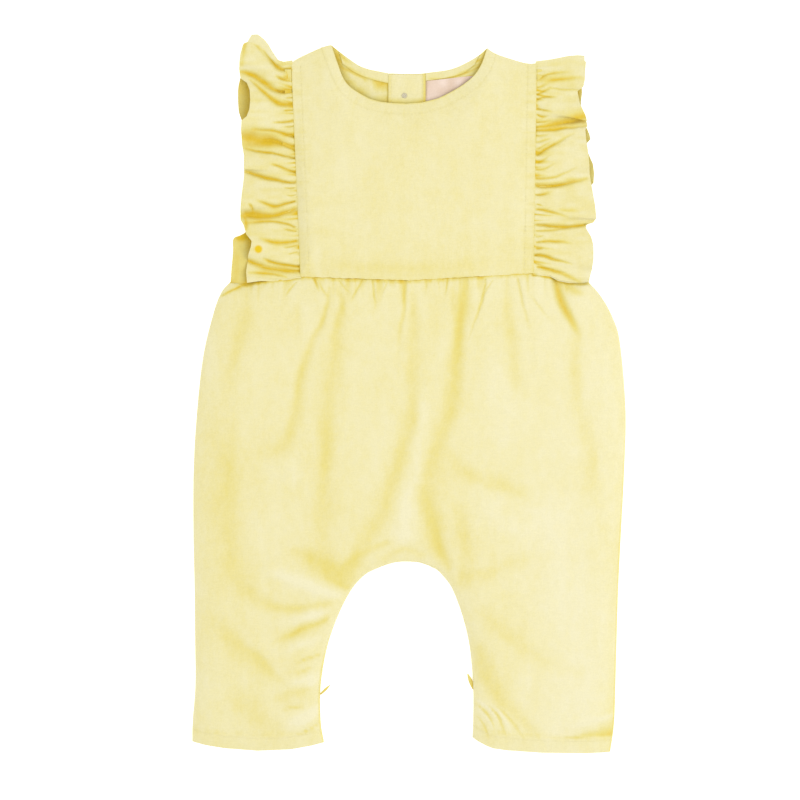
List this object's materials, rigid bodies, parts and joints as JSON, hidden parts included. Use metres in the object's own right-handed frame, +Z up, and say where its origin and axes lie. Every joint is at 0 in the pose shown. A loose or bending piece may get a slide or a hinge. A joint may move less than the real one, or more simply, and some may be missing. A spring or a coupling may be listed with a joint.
{
  "type": "ruffle overalls",
  "caption": "Baby's sleeveless one-piece overalls laid flat on their back: plain front yoke, gathered shoulder ruffles, side panels and wide trousers with folds and turned hems.",
  "frame": {"origin": "on the floor plane, under the middle of the garment's outline", "axes": "+Y from the hems to the neck, +Z up out of the garment's front, +X to the right seen from above"},
  "size_m": [0.304, 0.5059, 0.0115],
  "materials": {
    "yellow_cloth": "matt slub weave",
    "pink_label": "woven label, bare",
    "snap_grey": "satin"
  },
  "bodies": {
    "root": {"back_placket": "yellow_cloth", "back_snap_1": "snap_grey", "back_snap_2": "snap_grey", "back_snap_3": "snap_grey", "leg_tab_left": "yellow_cloth", "leg_tab_right": "yellow_cloth", "neck_facing_left": "yellow_cloth", "neck_facing_right": "yellow_cloth", "neck_label": "pink_label", "ruffle_left": "yellow_cloth", "ruffle_right": "yellow_cloth", "side_back_left": "yellow_cloth", "side_back_right": "yellow_cloth", "side_front_left": "yellow_cloth", "side_front_right": "yellow_cloth", "trouser_back": "yellow_cloth", "trouser_front": "yellow_cloth", "yoke_back_left": "yellow_cloth", "yoke_back_right": "yellow_cloth", "yoke_front": "yellow_cloth"}
  },
  "joints": []
}
